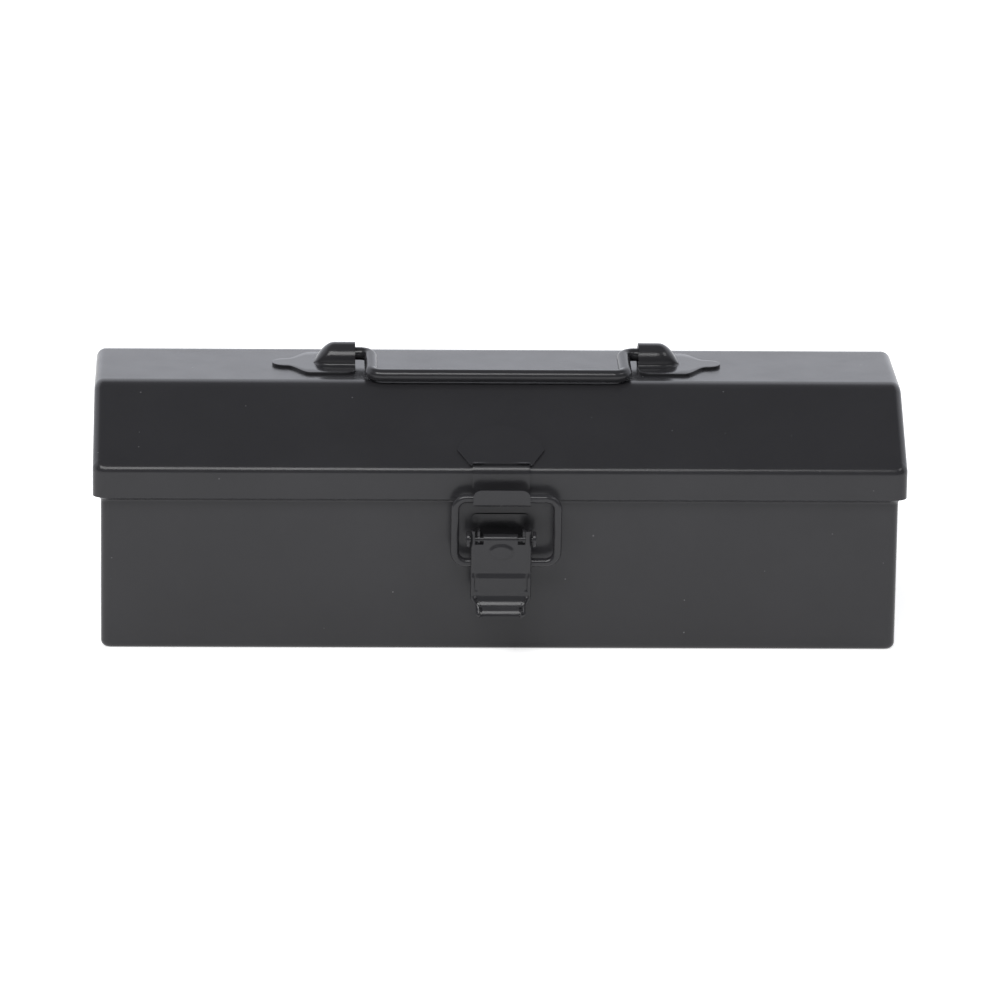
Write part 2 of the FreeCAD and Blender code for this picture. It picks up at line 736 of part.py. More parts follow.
def make_latch_base():
    """The plate on the body's front wall, with two ears that carry the lever's pin."""
    body = new_body("latch_base")
    plate = new_sketch(body, "plate_front", "XZ_Plane", "body_depth / 2")
    half = "ear_inner + base_gauge"
    outline(plate, (
        (f"-({half})", "base_plate_foot"),
        (half, "base_plate_foot"),
        (half, "base_plate_waist"),
        ("base_foot_half", "base_plate_waist + base_waist_run"),
        ("base_foot_half", "base_plate_top"),
        ("-base_foot_half", "base_plate_top"),
        ("-base_foot_half", "base_plate_waist + base_waist_run"),
        (f"-({half})", "base_plate_waist"),
    ))
    foot = grow(body, "plate", "Pad", plate, "base_gauge")
    top = value_of("base_plate_top")
    rounding(
        body, "plate_corners", foot,
        lambda box, _: box.XLength < 0.01 and is_flat_at(box, top), "base_corner",
    )
    for label, start in (("left", "-ear_inner - base_gauge"), ("right", "ear_inner")):
        ear = new_sketch(body, f"ear_{label}", "YZ_Plane", start)
        outline(ear, (
            ("-body_depth / 2 - base_gauge", "base_plate_foot + ear_foot_rise"),
            ("-lever_axis_front + ear_bevel", "lever_axis_level - ear_foot_drop"),
            ("-lever_axis_front - ear_front", "lever_axis_level + ear_bevel"),
            ("-lever_axis_front - ear_front", "lever_axis_level + ear_tip_rise - ear_bevel"),
            ("-lever_axis_front - ear_front + ear_bevel", "lever_axis_level + ear_tip_rise"),
            ("-lever_axis_front + ear_back", "lever_axis_level + ear_tip_rise"),
            ("-body_depth / 2 - base_gauge", "base_plate_waist - base_waist_run"),
        ))
        grow(body, f"ear_{label}_web", "Pad", ear, "base_gauge")
        nose = new_sketch(body, f"nose_{label}", "YZ_Plane", start)
        circle(nose, "-lever_axis_front", "lever_axis_level", "ear_nose")
        grow(body, f"ear_{label}_nose", "Pad", nose, "base_gauge")
    hole = new_sketch(body, "pin_hole", "YZ_Plane")
    circle(hole, "-lever_axis_front", "lever_axis_level", "latch_pin_radius")
    grow(body, "bore", "Pocket", hole, "4 * ear_inner", both=True)


def make_latch_pin():
    """The lever's pivot pin, with a flat head riveted over at each end."""
    body = new_body("latch_pin")
    shank = new_sketch(body, "shank", "YZ_Plane")
    circle(shank, "-lever_axis_front", "lever_axis_level", "latch_pin_radius")
    pin = grow(body, "rod", "Pad", shank, "2 * latch_pin_half", both=True)
    for label, start in (("left", "-latch_pin_half"), ("right", "latch_pin_half - latch_head_gauge")):
        head = new_sketch(body, f"head_{label}", "YZ_Plane", start)
        circle(head, "-lever_axis_front", "lever_axis_level", "latch_head_radius")
        pin = grow(body, f"head_{label}_disc", "Pad", head, "latch_head_gauge")
    end = value_of("latch_pin_half")
    rounding(body, "head_edges", pin, lambda box, _: abs(abs(box.XMin) - end) < 0.01, "latch_head_edge")


def make_lever():
    """The pressed lever: a rolled top edge on the pin, two side flanges and a flared finger tip."""
    body = new_body("latch_lever")
    front = "-lever_front"
    back = "-lever_front + lever_gauge"
    tip_angle = "acos(1 - flare_reach / flare_radius)"
    face = new_sketch(body, "face_section", "YZ_Plane")
    outline(face, (
        (front, "lever_axis_level"),
        (front, "ledge_top"),
        (f"{front} - lever_step", "ledge_foot"),
        (f"{front} - lever_step", "flare_top", "flare_radius", -1),
        (f"{front} - lever_step - flare_reach", "flare_tip"),
        (f"{front} - lever_step - flare_reach + lever_gauge * cos({tip_angle})",
         f"flare_tip - lever_gauge * sin({tip_angle})", "flare_radius + lever_gauge", 1),
        (f"{back} - lever_step", "flare_top"),
        (f"{back} - lever_step", "ledge_foot"),
        (back, "ledge_top"),
        (back, "lever_axis_level"),
    ))
    grow(body, "face", "Pad", face, "2 * lever_half", both=True)
    for label, start in (("left", "-lever_half"), ("right", "lever_half - lever_gauge")):
        flange = new_sketch(body, f"flange_{label}", "YZ_Plane", start)
        outline(flange, (
            (front, "flange_foot"),
            (front, "lever_axis_level + flange_top_rise - flange_chamfer"),
            (f"{front} + flange_chamfer", "lever_axis_level + flange_top_rise"),
            (f"{front} + flange_top_depth", "lever_axis_level + flange_top_rise"),
            ("-lever_axis_front + flange_back", "lever_axis_level + flange_back_rise"),
            ("-lever_axis_front + flange_back", "lever_axis_level - flange_back_drop"),
            ("-loop_foot_front + foot_web", "loop_foot_level + flange_back_drop"),
            ("-loop_foot_front + foot_web", "loop_foot_level - foot_web_drop"),
            ("-loop_foot_front + foot_web_inset", "loop_foot_level - foot_web_foot"),
            (f"{front} + foot_web_inset", "flange_foot"),
        ))
        grow(body, f"flange_{label}_web", "Pad", flange, "lever_gauge")
    boss = new_sketch(body, "boss_front", "XZ_Plane", "lever_front")
    rounded_path(boss, (
        ("-boss_long", "boss_level - boss_short"),
        ("boss_long", "boss_level - boss_short"),
        ("boss_long", "boss_level + boss_short"),
        ("-boss_long", "boss_level + boss_short"),
    ), ["boss_round"] * 4, True)
    grow(body, "boss", "Pad", boss, "boss_rise")
    roll = new_sketch(body, "roll_section", "YZ_Plane")
    circle(roll, "-lever_axis_front", "lever_axis_level", "roll_radius")
    grow(body, "roll", "Pad", roll, "2 * roll_half", both=True)
    for label, direction in (("left", "-"), ("right", "")):
        notch = new_sketch(body, f"notch_{label}", "XZ_Plane", "lever_front - 2 * lever_gauge")
        outline(notch, (
            (f"{direction}roll_half", "notch_level"),
            (f"{direction}notch_half", "notch_level"),
            (f"{direction}notch_half", "lever_axis_level + 2 * roll_radius"),
            (f"{direction}roll_half", "lever_axis_level + 2 * roll_radius"),
        ))
        grow(body, f"notch_{label}_cut", "Pocket", notch, "4 * lever_gauge", backwards=True)
    for label, direction in (("left", "-"), ("right", "")):
        taper = new_sketch(body, f"taper_{label}", "XZ_Plane", "lever_front - 3 * lever_gauge")
        outline(taper, (
            (f"{direction}lever_half", "taper_top"),
            (f"{direction}(lever_half + lever_gauge)", "taper_top"),
            (f"{direction}(lever_half + lever_gauge)", "taper_foot"),
            (f"{direction}lever_tip_half", "taper_foot"),
        ))
        grow(body, f"taper_{label}_cut", "Pocket", taper, "12 * lever_gauge", backwards=True)
    pin = new_sketch(body, "pin_hole", "YZ_Plane")
    circle(pin, "-lever_axis_front", "lever_axis_level", "latch_pin_radius + latch_play")
    grow(body, "pin_bore", "Pocket", pin, "4 * lever_half", both=True)
    wire = new_sketch(body, "loop_hole", "YZ_Plane")
    circle(wire, "-loop_foot_front", "loop_foot_level", "wire_radius + latch_play")
    grow(body, "loop_bore", "Pocket", wire, "4 * lever_half", both=True)


def make_loop():
    """The closed wire ring that the lever pulls down on the keeper's hook."""
    body = new_body("latch_loop")
    rise = "(loop_top_level - loop_foot_level)"
    lean = "(loop_top_front - loop_foot_front)"
    path = new_sketch(body, "path", "XZ_Plane", "0")
    length = f"sqrt({rise} ^ 2 + {lean} ^ 2)"
    rounded_path(path, (
        ("-loop_half", "0"),
        ("loop_half", "0"),
        ("loop_half", length),
        ("-loop_half", length),
    ), ["loop_bend"] * 4, True)
    section = new_sketch(body, "section", "YZ_Plane", "-loop_half + loop_bend")
    circle(section, "0", "0", "wire_radius")
    swept_rod(body, path, section)
    bind(body, "Placement.Base.x", "loop_shift")
    bind(body, "Placement.Base.y", "-loop_foot_front")
    bind(body, "Placement.Base.z", "loop_foot_level")
    turn_about_x(body, f"atan({lean} / {rise})")


# ---------------------------------------------------------------- tray

def make_tray_pan():
    """The shallow pan with round bottom bends and a rim folded outwards."""
    body = new_body("tray_pan")
    plan = new_sketch(body, "plan", "XY_Plane", "tray_floor")
    rounded_rectangle(plan, "tray_width / 2 - tray_sheet", "tray_depth / 2 - tray_sheet", "tray_corner")
    block = grow(body, "block", "Pad", plan, "tray_top - tray_floor")
    floor = value_of("tray_floor")
    top = value_of("tray_top")
    bent = rounding(body, "floor_bends", block, lambda box, _: is_flat_at(box, floor), "tray_bend")
    hollow(body, "inside", bent, lambda box: is_flat_at(box, top), "tray_sheet")
    hem = new_sketch(body, "hem_plan", "XY_Plane", "tray_top - hem_drop")
    rounded_rectangle(hem, "tray_width / 2", "tray_depth / 2", "tray_corner + tray_sheet")
    rounded_rectangle(hem, "tray_width / 2 - 2 * tray_sheet", "tray_depth / 2 - 2 * tray_sheet",
                      "tray_corner - tray_sheet")
    folded = grow(body, "hem", "Pad", hem, "hem_drop")
    rounding(
        body, "hem_edge", folded,
        lambda box, _: is_flat_at(box, top), "hem_edge",
    )
    holes = new_sketch(body, "rivet_holes", "XY_Plane", "tray_floor")
    for x, y in rivet_places():
        circle(holes, x, y, "rivet_radius")
    grow(body, "rivet_holes_cut", "Pocket", holes, "2 * tray_bend", backwards=True)


def rivet_places():
    """The four rivets through the strap's feet, as formulas."""
    across = "(strap_half_length - strap_foot / 2)"
    return [
        (f"{sign}{across}", f"{way}rivet_spacing / 2")
        for sign in ("-", "") for way in ("-", "")
    ]


def make_tray_handle():
    """A bent steel strap that stands along the middle of the tray's floor."""
    body = new_body("tray_handle")
    section = new_sketch(body, "section", "XZ_Plane")
    floor = "tray_floor + tray_sheet"
    inner = "strap_half_length - strap_foot"
    crown = f"{inner} - strap_run_in"
    outline(section, (
        ("-strap_half_length", floor),
        (f"-({inner})", floor),
        (f"-({crown})", "strap_top - strap_gauge"),
        (crown, "strap_top - strap_gauge"),
        (inner, floor),
        ("strap_half_length", floor),
        ("strap_half_length", f"{floor} + strap_gauge"),
        (f"{inner} + strap_gauge", f"{floor} + strap_gauge"),
        (f"{crown} + strap_gauge", "strap_top"),
        (f"-({crown} + strap_gauge)", "strap_top"),
        (f"-({inner} + strap_gauge)", f"{floor} + strap_gauge"),
        ("-strap_half_length", f"{floor} + strap_gauge"),
    ))
    strap = grow(body, "strap", "Pad", section, "2 * strap_half_width", both=True)
    top = value_of("strap_top")
    gauge = value_of("strap_gauge")

    def across_at(level):
        return lambda box, _: box.YLength > 10 and box.XLength < 0.01 and is_flat_at(box, level)

    strap = rounding(body, "crown_outside", strap, across_at(top), "strap_bend + strap_gauge")
    strap = rounding(body, "crown_inside", strap, across_at(top - gauge), "strap_bend")
    end = value_of("strap_half_length")
    rounding(
        body, "foot_ends", strap,
        lambda box, _: is_upright(box) and abs(abs(box.XMin) - end) < 0.01, "strap_end_corner",
    )
    holes = new_sketch(body, "rivet_holes", "XY_Plane", "tray_floor")
    for x, y in rivet_places():
        circle(holes, x, y, "rivet_radius")
    grow(body, "rivet_holes_cut", "Pocket", holes, "4 * strap_gauge", backwards=True)


def make_tray_rivets():
    """Four rivets, each a shank with a domed head on both sides."""
    rivets = []
    lower = "tray_floor - rivet_head_rise"
    upper = "tray_floor + tray_sheet + strap_gauge"
    for i, (x, y) in enumerate(rivet_places()):
        shank = doc.addObject("Part::Cylinder", f"rivet_shank_{i}")
        bind(shank, "Radius", "rivet_radius")
        bind(shank, "Height", "tray_sheet + strap_gauge")
        heads = []
        for label, level, wide, narrow in (
            ("lower", lower, "rivet_crown_radius", "rivet_head_radius"),
            ("upper", upper, "rivet_head_radius", "rivet_crown_radius"),
        ):
            head = doc.addObject("Part::Cone", f"rivet_head_{label}_{i}")
            bind(head, "Radius1", wide)
            bind(head, "Radius2", narrow)
            bind(head, "Height", "rivet_head_rise")
            place(head, x, y, level)
            heads.append(head)
        place(shank, x, y, "tray_floor")
        whole = doc.addObject("Part::MultiFuse", f"rivet_{i}")
        whole.Shapes = [shank, *heads]
        rivets.append(whole)
    group = doc.addObject("Part::Compound", "tray_rivets")
    group.Label = "tray_rivets"
    group.Links = rivets
    SUB_PARTS.append(group)


def place(thing, x, y, z):
    """Tie the three parts of a thing's position to formulas."""
    for axis, formula in (("x", x), ("y", y), ("z", z)):
        bind(thing, f"Placement.Base.{axis}", formula)


def make_tray_rest(name, side, end):
    """A folded angle, spot-welded in a corner of the body, that the tray stands on."""
    body = new_body(name)
    section = new_sketch(body, "section", "YZ_Plane")
    wall = "(body_depth / 2 - sheet)"
    outline(section, (
        (wall, "rest_level - rest_drop"),
        (wall, "rest_level"),
        (f"{wall} - rest_shelf", "rest_level"),
        (f"{wall} - rest_shelf", "rest_level - sheet"),
        (f"{wall} - sheet", "rest_level - sheet"),
        (f"{wall} - sheet", "rest_level - rest_drop"),
    ))
    angle = grow(body, "angle", "Pad", section, "rest_width", both=True)
    inner = value_of(f"{wall} - rest_shelf")
    rounding(
        body, "shelf_corners", angle,
        lambda box, _: is_upright(box) and abs(box.YMin - inner) < 0.01, "rest_corner",
    )
    if end < 0:
        body.Placement.Rotation = FreeCAD.Rotation(FreeCAD.Vector(0, 0, 1), 180)
    bind(body, "Placement.Base.x", f"{side} * rest_offset")


# ---------------------------------------------------------------- assembly

make_body_shell()
make_lid_shell()
for side_name, side in (("left", -1), ("right", 1)):
    make_body_leaf(f"hinge_leaf_body_{side_name}", side)
    make_lid_leaf(f"hinge_leaf_lid_{side_name}", side)
    make_hinge_pin(f"hinge_pin_{side_name}", side)
    make_handle_bracket(f"handle_bracket_{side_name}", side)
    make_tray_rest(f"tray_rest_front_{side_name}", side, -1)
    make_tray_rest(f"tray_rest_rear_{side_name}", side, 1)
make_handle()
make_keeper()
make_latch_base()
make_latch_pin()
make_lever()
make_loop()
make_tray_pan()
make_tray_handle()
make_tray_rivets()

doc.recompute()
for thing in doc.Objects:
    if "Invalid" in thing.State or "Error" in thing.State:
        raise RuntimeError(f"{thing.Name} failed: {thing.State}")
for part in SUB_PARTS:
    if part.Shape.isNull() or not part.Shape.isValid():
        raise RuntimeError(f"{part.Label} has a bad shape")

os.makedirs("parts", exist_ok=True)
for part in SUB_PARTS:
    part.Shape.exportStep(f"parts/{part.Label}.step")
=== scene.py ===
import math

import bmesh
import bpy
from mathutils import Matrix, Vector


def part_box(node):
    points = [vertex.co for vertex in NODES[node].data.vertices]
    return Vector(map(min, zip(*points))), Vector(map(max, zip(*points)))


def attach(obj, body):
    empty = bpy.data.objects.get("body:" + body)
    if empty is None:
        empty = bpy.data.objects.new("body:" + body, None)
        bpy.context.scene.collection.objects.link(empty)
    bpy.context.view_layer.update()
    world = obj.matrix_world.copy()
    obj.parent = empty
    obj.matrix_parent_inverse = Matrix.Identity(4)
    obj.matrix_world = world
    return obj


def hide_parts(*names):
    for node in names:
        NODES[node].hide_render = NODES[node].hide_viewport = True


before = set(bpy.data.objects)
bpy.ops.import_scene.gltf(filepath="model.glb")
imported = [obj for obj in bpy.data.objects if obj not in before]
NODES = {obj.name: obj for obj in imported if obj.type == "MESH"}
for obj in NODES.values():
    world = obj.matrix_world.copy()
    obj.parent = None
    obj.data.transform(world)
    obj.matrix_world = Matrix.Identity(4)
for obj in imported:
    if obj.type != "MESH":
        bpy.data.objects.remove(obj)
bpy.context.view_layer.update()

# A closed steel toolbox on a white table: metres, X along the box, Y towards
# the hinges, Z up.

MM = 0.001


# ------------------------------------------------------------------ camera

CAMERA_DISTANCE = 3.212
CAMERA_YAW = math.radians(2.24)
CAMERA_PITCH = math.radians(15.80)
CAMERA_ROLL = math.radians(0.82)
CAMERA_LENS = 256.5
SENSOR_WIDTH = 36.0
AIM_ACROSS = 0.0025
AIM_LEVEL = 0.0485


def make_camera():
    """A long lens in front of the box, a little to its left and above it."""
    forward = Vector((
        math.sin(CAMERA_YAW) * math.cos(CAMERA_PITCH),
        math.cos(CAMERA_YAW) * math.cos(CAMERA_PITCH),
        -math.sin(CAMERA_PITCH),
    ))
    level = Vector((math.cos(CAMERA_YAW), -math.sin(CAMERA_YAW), 0))
    upward = level.cross(forward)
    right = math.cos(CAMERA_ROLL) * level + math.sin(CAMERA_ROLL) * upward
    up = math.cos(CAMERA_ROLL) * upward - math.sin(CAMERA_ROLL) * level
    place = Vector((AIM_ACROSS, 0, AIM_LEVEL)) - forward * CAMERA_DISTANCE
    data = bpy.data.cameras.new("camera")
    data.lens = CAMERA_LENS
    data.sensor_width = SENSOR_WIDTH
    data.clip_start = 0.05
    data.clip_end = 40.0
    camera = bpy.data.objects.new("camera", data)
    bpy.context.scene.collection.objects.link(camera)
    camera.matrix_world = Matrix((
        (right.x, up.x, -forward.x, place.x),
        (right.y, up.y, -forward.y, place.y),
        (right.z, up.z, -forward.z, place.z),
        (0, 0, 0, 1),
    ))
    bpy.context.scene.camera = camera


# ------------------------------------------------------------ shader helpers

def add(tree, kind, inputs=None, **settings):
    """A new shader node with its settings and its unlinked inputs."""
    made = tree.nodes.new(kind)
    for name, value in settings.items():
        setattr(made, name, value)
    for name, value in (inputs or {}).items():
        made.inputs[name].default_value = value
    return made


def noise(tree, place, scale, detail=3.0, roughness=0.55):
    """Smooth noise from 0 to 1 over the object's own coordinates."""
    made = add(tree, "ShaderNodeTexNoise", {"Scale": scale, "Detail": detail, "Roughness": roughness})
    tree.links.new(place, made.inputs["Vector"])
    return made.outputs["Fac"]


def remap(tree, value, low, high, new_low, new_high):
    """The value taken from one range to another and held inside it."""
    made = add(tree, "ShaderNodeMapRange", {
        "From Min": low, "From Max": high, "To Min": new_low, "To Max": new_high,
    })
    tree.links.new(value, made.inputs["Value"])
    return made.outputs["Result"]


def maths(tree, operation, a, b):
    """One operation on two values, each a socket or a number."""
    made = add(tree, "ShaderNodeMath", operation=operation)
    for socket, value in zip(made.inputs, (a, b)):
        if isinstance(value, (int, float)):
            socket.default_value = value
        else:
            tree.links.new(value, socket)
    return made.outputs["Value"]


def mixed(tree, share, first, second):
    """Two colours mixed by a share; each is a socket or a colour."""
    made = add(tree, "ShaderNodeMix", data_type="RGBA")
    tree.links.new(share, made.inputs["Factor"])
    for name, value in (("A", first), ("B", second)):
        socket = next(s for s in made.inputs if s.name == name and s.type == "RGBA")
        if isinstance(value, tuple):
            socket.default_value = (*value, 1.0)
        else:
            tree.links.new(value, socket)
    return next(s for s in made.outputs if s.type == "RGBA")


def bumped(tree, height, strength, distance, below=None):
    """A normal bent by a height socket, over another bump if there is one."""
    made = add(tree, "ShaderNodeBump", {"Strength": strength, "Distance": distance})
    tree.links.new(height, made.inputs["Height"])
    if below is not None:
        tree.links.new(below, made.inputs["Normal"])
    return made.outputs["Normal"]


def new_material(name):
    """An empty material with a Principled shader, and its object coordinates."""
    material = bpy.data.materials.new(name)
    material.use_nodes = True
    tree = material.node_tree
    tree.nodes.clear()
    output = add(tree, "ShaderNodeOutputMaterial")
    shader = add(tree, "ShaderNodeBsdfPrincipled")
    tree.links.new(shader.outputs["BSDF"], output.inputs["Surface"])
    place = add(tree, "ShaderNodeTexCoord").outputs["Object"]
    return material, tree, shader, place


# --------------------------------------------------------------- materials

PAINT_DARK = (0.0200, 0.0198, 0.0215)
PAINT_LIGHT = (0.0270, 0.0267, 0.0290)
PAINT_IOR = 1.36
DUST_COLOUR = (0.13, 0.13, 0.135)
DUST_CELLS = 170.0
DUST_RADIUS = 0.030
DUST_CHOSEN = (0.78, 0.98)
DUST_ROUGHNESS = 0.4
CLOUD_SCALE = 22.0
SHEEN_SCALE = 60.0
SHEEN_BELOW = 0.03
SHEEN_ABOVE = 0.04
PEEL_SCALE = 420.0
PEEL_HEIGHT = 0.1 * MM
WAVE_SCALE = 16.0
WAVE_HEIGHT = 0.4 * MM
SPECK_HEIGHT = 0.05 * MM
STEEL_DARK = (0.36, 0.35, 0.34)
STEEL_LIGHT = (0.56, 0.55, 0.53)
SCRATCH_SCALE = (40.0, 900.0, 900.0)
SCRATCH_HEIGHT = 0.03 * MM


def dust(tree, place):
    """Sparse pale specks: one small dot in some cells of a Voronoi pattern."""
    cells = add(tree, "ShaderNodeTexVoronoi", {"Scale": DUST_CELLS, "Randomness": 1.0})
    tree.links.new(place, cells.inputs["Vector"])
    dot = remap(tree, cells.outputs["Distance"], DUST_RADIUS, DUST_RADIUS * 2.2, 1.0, 0.0)
    parts = add(tree, "ShaderNodeSeparateColor")
    tree.links.new(cells.outputs["Color"], parts.inputs["Color"])
    chosen = remap(tree, parts.outputs["Red"], *DUST_CHOSEN, 0.0, 1.0)
    return maths(tree, "MULTIPLY", dot, chosen)


def satin_paint(name, roughness, dusty):
    """Baked black enamel: a fine orange peel, uneven sheen, specks of dust."""
    material, tree, shader, place = new_material(name)
    clouds = noise(tree, place, CLOUD_SCALE, 4.0)
    colour = mixed(tree, clouds, PAINT_DARK, PAINT_LIGHT)
    specks = maths(tree, "MULTIPLY", dust(tree, place), dusty)
    tree.links.new(mixed(tree, specks, colour, DUST_COLOUR), shader.inputs["Base Color"])
    patches = noise(tree, place, SHEEN_SCALE, 5.0, 0.6)
    sheen = remap(tree, patches, 0.3, 0.7, roughness - SHEEN_BELOW, roughness + SHEEN_ABOVE)
    dulled = maths(tree, "MULTIPLY", specks, DUST_ROUGHNESS)
    tree.links.new(maths(tree, "ADD", sheen, dulled), shader.inputs["Roughness"])
    peel = bumped(tree, noise(tree, place, PEEL_SCALE, 2.0, 0.5), 0.10, PEEL_HEIGHT)
    waves = bumped(tree, noise(tree, place, WAVE_SCALE, 1.0, 0.4), 0.25, WAVE_HEIGHT, peel)
    tree.links.new(bumped(tree, specks, 0.3, SPECK_HEIGHT, waves), shader.inputs["Normal"])
    shader.inputs["IOR"].default_value = PAINT_IOR
    return material


def bare_steel(name):
    """Zinc-bright steel with fine drawn scratches."""
    material, tree, shader, place = new_material(name)
    shader.inputs["Metallic"].default_value = 1.0
    streaked = add(tree, "ShaderNodeMapping", {"Scale": SCRATCH_SCALE})
    tree.links.new(place, streaked.inputs["Vector"])
    scratches = noise(tree, streaked.outputs["Vector"], 1.0, 4.0, 0.6)
    clouds = noise(tree, place, 140.0, 3.0)
    tree.links.new(mixed(tree, clouds, STEEL_DARK, STEEL_LIGHT), shader.inputs["Base Color"])
    tree.links.new(remap(tree, scratches, 0.3, 0.7, 0.26, 0.44), shader.inputs["Roughness"])
    tree.links.new(bumped(tree, scratches, 0.3, SCRATCH_HEIGHT), shader.inputs["Normal"])
    return material


# ------------------------------------------------------------ floor and light

FLOOR_SIZE = 14.0
FLOOR_WHITE = 0.80
FLOOR_GLOW = 0.65


def make_floor():
    """A white table top that stays white right up to the box."""
    half = FLOOR_SIZE / 2
    mesh = bpy.data.meshes.new("floor")
    corners = [(-half, -half, 0), (half, -half, 0), (half, half, 0), (-half, half, 0)]
    mesh.from_pydata(corners, [], [(0, 1, 2, 3)])
    floor = bpy.data.objects.new("floor", mesh)
    bpy.context.scene.collection.objects.link(floor)
    material, tree, shader, _ = new_material("table_white")
    shader.inputs["Base Color"].default_value = (FLOOR_WHITE, FLOOR_WHITE, FLOOR_WHITE, 1.0)
    shader.inputs["Roughness"].default_value = 0.9
    shader.inputs["Specular IOR Level"].default_value = 0.0
    shader.inputs["Emission Color"].default_value = (1.0, 1.0, 1.0, 1.0)
    shader.inputs["Emission Strength"].default_value = FLOOR_GLOW
    mesh.materials.append(material)


ROOM_COLOUR = (0.965, 0.985, 1.06)
BACK_LIGHT = 1.28
FRONT_LIGHT = 0.12
CEILING_LIGHT = 0.22
CEILING_STARTS = 0.60
CEILING_FULL = 0.86
FRONT_EDGE = 0.25


def make_world():
    """A white room: bright behind the box, dim behind the camera and overhead."""
    world = bpy.data.worlds.new("studio")
    bpy.context.scene.world = world
    world.use_nodes = True
    tree = world.node_tree
    tree.nodes.clear()
    output = add(tree, "ShaderNodeOutputWorld")
    background = add(tree, "ShaderNodeBackground", {"Color": (*ROOM_COLOUR, 1.0)})
    tree.links.new(background.outputs["Background"], output.inputs["Surface"])
    direction = add(tree, "ShaderNodeTexCoord").outputs["Generated"]
    parts = add(tree, "ShaderNodeSeparateXYZ")
    tree.links.new(direction, parts.inputs["Vector"])
    around = add(tree, "ShaderNodeMapRange", {
        "From Min": -FRONT_EDGE, "From Max": FRONT_EDGE,
        "To Min": FRONT_LIGHT, "To Max": BACK_LIGHT,
    }, interpolation_type="SMOOTHSTEP")
    tree.links.new(parts.outputs["Y"], around.inputs["Value"])
    fade = add(tree, "ShaderNodeMapRange", {
        "From Min": CEILING_STARTS, "From Max": CEILING_FULL, "To Max": CEILING_LIGHT,
    }, interpolation_type="SMOOTHSTEP")
    tree.links.new(around.outputs["Result"], fade.inputs["To Min"])
    tree.links.new(parts.outputs["Z"], fade.inputs["Value"])
    tree.links.new(fade.outputs["Result"], background.inputs["Strength"])


LIGHT_DISTANCE = 2.4


def softbox(name, azimuth, elevation, distance, width, height, radiance):
    """A rectangular light that faces the box: degrees, metres and a strength for its surface."""
    data = bpy.data.lights.new(name, "AREA")
    data.shape = "RECTANGLE"
    data.size = width
    data.size_y = height
    data.energy = radiance * math.pi * width * height
    light = bpy.data.objects.new(name, data)
    bpy.context.scene.collection.objects.link(light)
    turn = math.radians(azimuth)
    rise = math.radians(elevation)
    back = Vector((
        math.sin(turn) * math.cos(rise), -math.cos(turn) * math.cos(rise), math.sin(rise),
    ))
    light.location = back * distance
    light.rotation_mode = "QUATERNION"
    light.rotation_quaternion = back.to_track_quat("Z", "Y")
    light.visible_camera = False


def make_lights():
    """A key softbox at the front left, above the camera, and a weaker one at the right."""
    softbox("softbox_left", -24.0, 50.0, LIGHT_DISTANCE, 1.9, 0.9, 7.5)
    softbox("softbox_right", 60.0, 48.0, LIGHT_DISTANCE, 0.9, 0.6, 3.5)


# -------------------------------------------------------------- mesh helpers

def ease(value):
    """A smooth step from 0 to 1."""
    held = max(0.0, min(1.0, value))
    return held * held * (3 - 2 * held)


def between(value, table):
    """A table of (place, value) pairs, read in straight lines; places rise."""
    if value <= table[0][0]:
        return table[0][1]
    for (x0, y0), (x1, y1) in zip(table, table[1:]):
        if value <= x1:
            return y0 + (y1 - y0) * (value - x0) / (x1 - x0)
    return table[-1][1]


def quarter(steps):
    """Angles from 0 to a right angle in equal steps."""
    return [math.pi / 2 * i / steps for i in range(steps + 1)]


def bent_path(corners, radii, steps):
    """Points along straight runs with an arc at each inner corner, in a plane."""
    points = [Vector(corners[0])]
    for before, here, after, radius in zip(corners, corners[1:], corners[2:], radii):
        here = Vector(here)
        way_in = (here - Vector(before)).normalized()
        way_out = (Vector(after) - here).normalized()
        turn = way_in.angle(way_out)
        reach = radius * math.tan(turn / 2)
        side = Vector((-way_in.y, way_in.x))
        if side.dot(way_out) < 0:
            side = -side
        centre = here - way_in * reach + side * radius
        for i in range(steps + 1):
            angle = turn * i / steps
            points.append(centre - side * radius * math.cos(angle) + way_in * radius * math.sin(angle))
    points.append(Vector(corners[-1]))
    return points


WELD_DISTANCE = 0.002 * MM
SOFT_ANGLE = math.radians(50)


def pressed_sheet(name, rows, gauge, edge, body, nodes, keep=None, inward=-1.0):
    """A pressed-steel piece: a grid of points given thickness and softened edges.

    keep says whether the face between two rows and two columns is there. The
    metal lies against the faces' normals where inward is -1, and along them where it is 1."""
    columns = len(rows[0])
    faces = []
    for i in range(len(rows) - 1):
        for j in range(columns - 1):
            if keep is None or keep(i, j):
                first = i * columns + j
                faces.append((first, first + 1, first + columns + 1, first + columns))
    mesh = bpy.data.meshes.new(name)
    mesh.from_pydata([point for row in rows for point in row], [], faces)
    tidy = bmesh.new()
    tidy.from_mesh(mesh)
    loose = [v for v in tidy.verts if not v.link_faces]
    bmesh.ops.delete(tidy, geom=loose, context="VERTS")
    bmesh.ops.remove_doubles(tidy, verts=tidy.verts, dist=WELD_DISTANCE)
    tidy.to_mesh(mesh)
    tidy.free()
    mesh.polygons.foreach_set("use_smooth", [True] * len(mesh.polygons))
    piece = bpy.data.objects.new(name, mesh)
    bpy.context.scene.collection.objects.link(piece)
    thick = piece.modifiers.new("thickness", "SOLIDIFY")
    thick.thickness = gauge
    thick.offset = inward
    thick.use_even_offset = False
    thick.use_quality_normals = True
    thick.thickness_clamp = 0.0
    soft = piece.modifiers.new("soft_edges", "BEVEL")
    soft.width = edge
    soft.segments = 3
    soft.limit_method = "ANGLE"
    soft.angle_limit = SOFT_ANGLE
    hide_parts(*nodes)
    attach(piece, body)
    return piece


# -------------------------------------------------------- handle brackets

